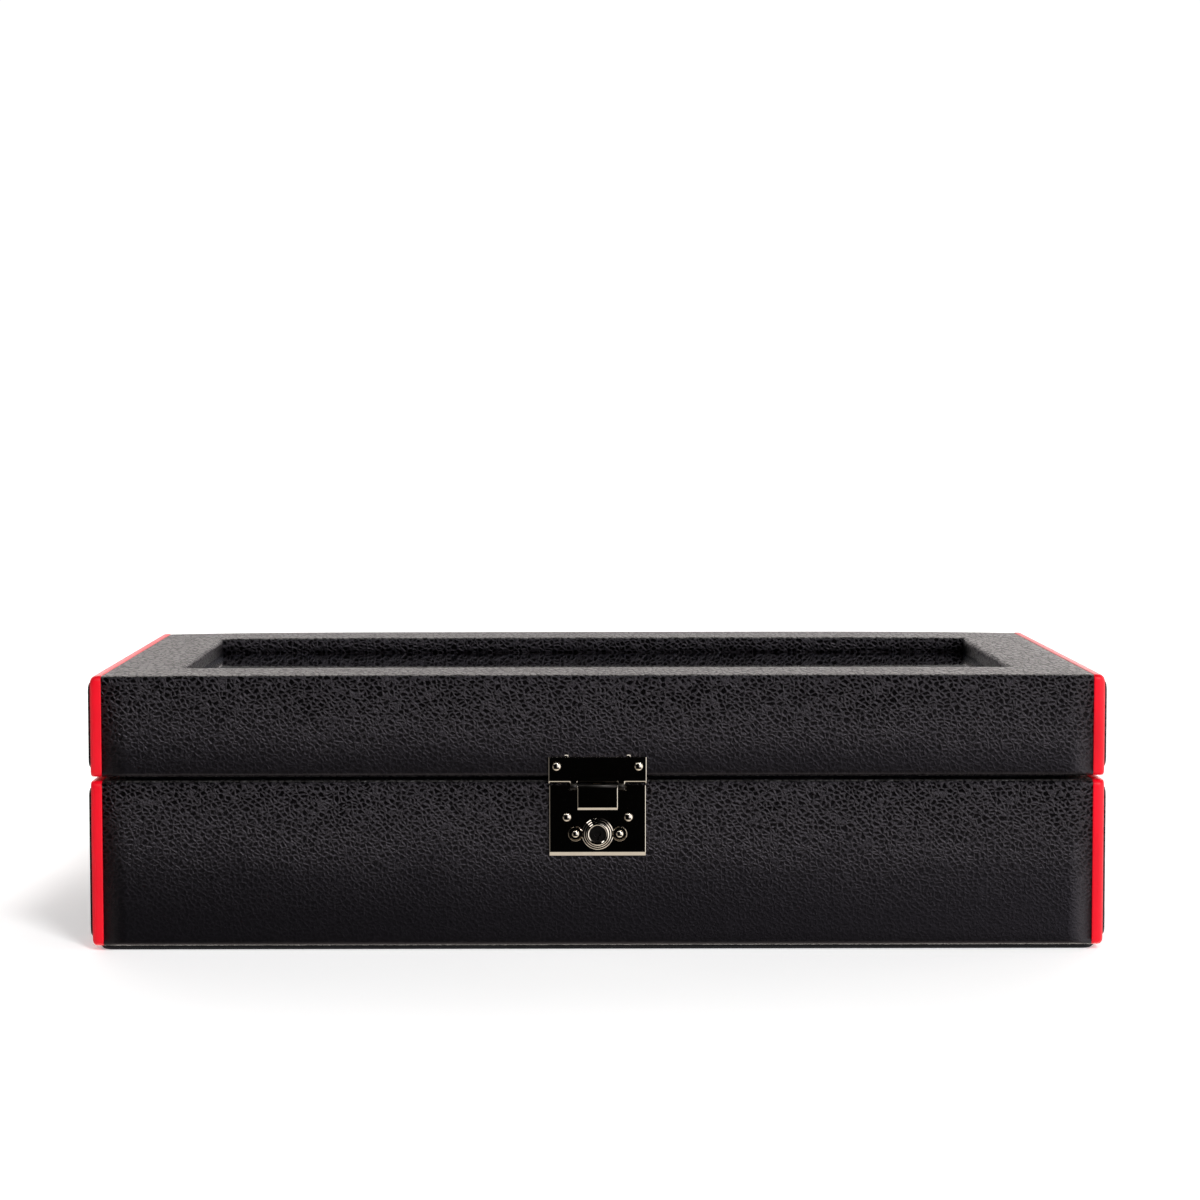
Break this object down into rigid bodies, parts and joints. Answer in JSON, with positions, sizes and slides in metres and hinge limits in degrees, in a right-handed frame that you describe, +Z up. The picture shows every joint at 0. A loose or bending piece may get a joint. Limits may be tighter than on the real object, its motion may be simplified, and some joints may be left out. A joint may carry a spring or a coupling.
{
  "type": "watch box",
  "caption": "Leather-covered watch box with a hinged lid round a glass window, red leather end edges, a riveted hasp lock with keyhole rosette, and a divided tray of cushions.",
  "frame": {"origin": "middle of the flat underside", "axes": "+X to the viewer's right along the length, +Y from the lock to the rear hinges, +Z up"},
  "size_m": [0.3418, 0.19, 0.0928],
  "materials": {
    "black_leather": "embossed pebble grain, satin",
    "red_leather": "smooth, semi-gloss",
    "board": "fibreboard, unfinished and hidden",
    "lining": "short-pile velvet",
    "divider": "stiff board covered with short-pile velvet",
    "cushion": "short-pile velvet",
    "retainer": "stiff board covered with short-pile velvet",
    "window_glass": "clear, flat, polished",
    "lock_metal": "mirror-polished dark nickel",
    "lock_works": "dark, satin",
    "hinge_metal": "nickel-plated, satin"
  },
  "bodies": {
    "base": {"base_bottom_panel": "black_leather", "base_floor_board": "board", "base_front_board": "board", "base_back_board": "board", "base_left_board": "board", "base_right_board": "board", "base_leather_wrap": "black_leather", "base_left_red_edge": "red_leather", "base_right_red_edge": "red_leather", "base_left_side_pad": "black_leather", "base_right_side_pad": "black_leather", "base_wall_lining": "lining", "base_floor_lining": "lining", "tray_long_divider": "divider", "tray_cross_divider_1": "divider", "tray_cross_divider_2": "divider", "tray_cross_divider_3": "divider", "tray_cross_divider_4": "divider", "watch_cushion_01": "cushion", "watch_cushion_02": "cushion", "watch_cushion_03": "cushion", "watch_cushion_04": "cushion", "watch_cushion_05": "cushion", "watch_cushion_06": "cushion", "watch_cushion_07": "cushion", "watch_cushion_08": "cushion", "watch_cushion_09": "cushion", "watch_cushion_10": "cushion", "lock_plate": "lock_metal", "lock_plate_rivets": "lock_metal", "keyhole_rosette": "lock_metal", "rosette_rivets": "lock_metal", "lock_case": "lock_works", "hinge_base_leaves": "hinge_metal", "hinge_pins": "hinge_metal", "hinge_base_screws": "hinge_metal"},
    "lid": {"lid_front_board": "board", "lid_back_board": "board", "lid_left_board": "board", "lid_right_board": "board", "lid_top_rails": "board", "lid_leather_wrap": "black_leather", "lid_left_red_edge": "red_leather", "lid_right_red_edge": "red_leather", "lid_left_side_pad": "black_leather", "lid_right_side_pad": "black_leather", "lid_window_glass": "window_glass", "glass_retainer_frame": "retainer", "lid_wall_lining": "lining", "hasp_plate": "lock_metal", "hasp_plate_rivets": "lock_metal", "hasp_hinge_pin": "lock_metal", "hinge_lid_leaves": "hinge_metal", "hinge_lid_screws": "hinge_metal"},
    "hasp_flap": {"hasp_tongue": "lock_metal"},
    "key": {"key_plug": "lock_works"},
    "bolt": {"lock_bolt": "lock_works"}
  },
  "joints": [
    {"name": "lid_hinge", "type": "hinge", "parent": "base", "child": "lid", "pos_m": [0, 0.0927, 0.058], "axis": [-1, 0, 0], "range_deg": [0, 100]},
    {"name": "flap_hinge", "type": "hinge", "parent": "lid", "child": "hasp_flap", "pos_m": [0, -0.0922, 0.0555], "axis": [-1, 0, 0], "range_deg": [0, 110]},
    {"name": "key_turn", "type": "hinge", "parent": "base", "child": "key", "pos_m": [0, -0.091, 0.03965], "axis": [0, 1, 0], "range_deg": [0, 90]},
    {"name": "bolt_slide", "type": "slide", "parent": "base", "child": "bolt", "axis": [1, 0, 0], "range_m": [0, 0.00283]}
  ],
  "couplings": [
    {"joint": "key_turn", "follows": "bolt_slide", "rad_per_m": 555}
  ]
}
